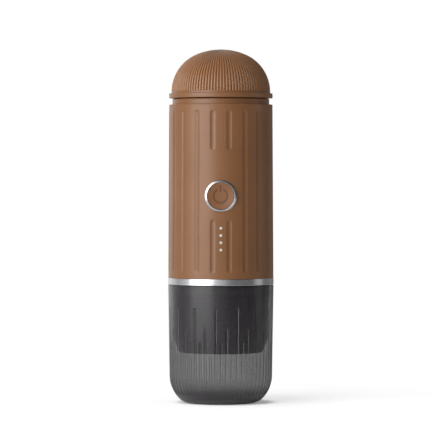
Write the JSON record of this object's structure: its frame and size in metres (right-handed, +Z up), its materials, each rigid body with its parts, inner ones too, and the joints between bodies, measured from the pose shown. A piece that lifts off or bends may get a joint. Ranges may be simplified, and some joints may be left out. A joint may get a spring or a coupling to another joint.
{
  "type": "portable espresso maker",
  "caption": "Battery-powered portable coffee maker: fluted body with heated tank and pump, ribbed dome cap, power button, pull-off brew head and grooved drinking cup.",
  "frame": {"origin": "centre of the cup's flat base, where the maker stands", "axes": "+Z up along the axis, the power button faces -Y, +X is to the right seen from the front"},
  "size_m": [0.07, 0.07, 0.2344],
  "materials": {
    "brown_plastic": "satin moulded plastic",
    "dark_plastic": "satin black plastic",
    "smoke_plastic": "clear smoke-grey plastic",
    "bright_metal": "polished metal plating",
    "steel": "plain stainless steel",
    "silicone": "matt silicone",
    "board": "varnished circuit board",
    "cell_wrap": "shrink-wrapped metal can",
    "heater_metal": "cast heater plate",
    "foam": "closed-cell foam",
    "clear_light": "milky light guide",
    "pale_plastic": "plain moulded plastic"
  },
  "bodies": {
    "main_body": {"body_shell": "brown_plastic", "trim_ring": "bright_metal", "chassis": "dark_plastic", "tank_support": "dark_plastic", "water_tank": "steel", "tank_seal": "silicone", "insulation_sleeve": "foam", "heater_plate": "heater_metal", "temperature_sensor": "pale_plastic", "battery_cells": "cell_wrap", "cell_links": "steel", "control_board": "board", "switch_housing": "dark_plastic", "indicator_leds": "clear_light", "light_guide": "clear_light", "button_bezel": "bright_metal", "charge_board": "board", "usb_socket": "steel", "pump_bracket": "dark_plastic", "pump_motor": "steel", "gear_pin": "steel", "pump_head": "dark_plastic", "inlet_hose": "silicone", "outlet_hose": "silicone", "group_head": "dark_plastic", "group_gasket": "silicone", "shower_screen": "steel", "screen_screw": "steel", "cup_seal": "silicone", "shell_screws": "steel", "collar_screws": "steel", "support_screws": "steel", "motor_screws": "steel"},
    "button": {"power_button": "brown_plastic", "switch_plunger": "pale_plastic"},
    "cap_seal": {"cap_seal": "silicone"},
    "cap": {"cap_dome": "brown_plastic", "cap_rim": "brown_plastic"},
    "basket": {"filter_basket": "steel"},
    "brew_head": {"brew_head": "dark_plastic"},
    "cup": {"cup": "smoke_plastic"},
    "usb_cover": {"usb_cover": "brown_plastic"},
    "pinion": {"motor_pinion": "steel"},
    "crank": {"crank_gear": "pale_plastic"},
    "plunger": {"pump_plunger": "steel"}
  },
  "joints": [
    {"name": "cap_lift", "type": "slide", "parent": "main_body", "child": "cap_seal", "axis": [0, 0, 1], "range_m": [0, 0.05]},
    {"name": "cap_turn", "type": "hinge", "parent": "cap_seal", "child": "cap", "pos_m": [0, 0, 0.202], "axis": [0, 0, 1], "range_deg": [0, 90]},
    {"name": "cup_pull", "type": "slide", "parent": "main_body", "child": "cup", "axis": [0, 0, -1], "range_m": [0, 0.08]},
    {"name": "brew_head_drop", "type": "slide", "parent": "main_body", "child": "basket", "axis": [0, 0, -1], "range_m": [0, 0.02]},
    {"name": "brew_head_turn", "type": "hinge", "parent": "basket", "child": "brew_head", "pos_m": [0, 0, 0.06], "axis": [0, 0, 1], "range_deg": [0, 60]},
    {"name": "button_press", "type": "slide", "parent": "main_body", "child": "button", "axis": [0, 1, 0], "range_m": [0, 0.0006], "stiffness_N_per_m": 1200},
    {"name": "cover_swing", "type": "hinge", "parent": "main_body", "child": "usb_cover", "pos_m": [0, 0.03443, 0.0932], "axis": [-1, 0, 0], "range_deg": [0, 110]},
    {"name": "crank_spin", "type": "hinge", "parent": "main_body", "child": "crank", "pos_m": [0.013, -0.0075, 0.11], "axis": [0, 0, 1], "continuous": true},
    {"name": "motor_spin", "type": "hinge", "parent": "main_body", "child": "pinion", "pos_m": [0, -0.0075, 0.11], "axis": [0, 0, 1], "continuous": true},
    {"name": "plunger_stroke", "type": "slide", "parent": "main_body", "child": "plunger", "axis": [-1, 0, 0], "range_m": [-0.0025, 0.0025]}
  ],
  "couplings": [
    {"joint": "motor_spin", "follows": "crank_spin", "ratio": -2.25}
  ]
}
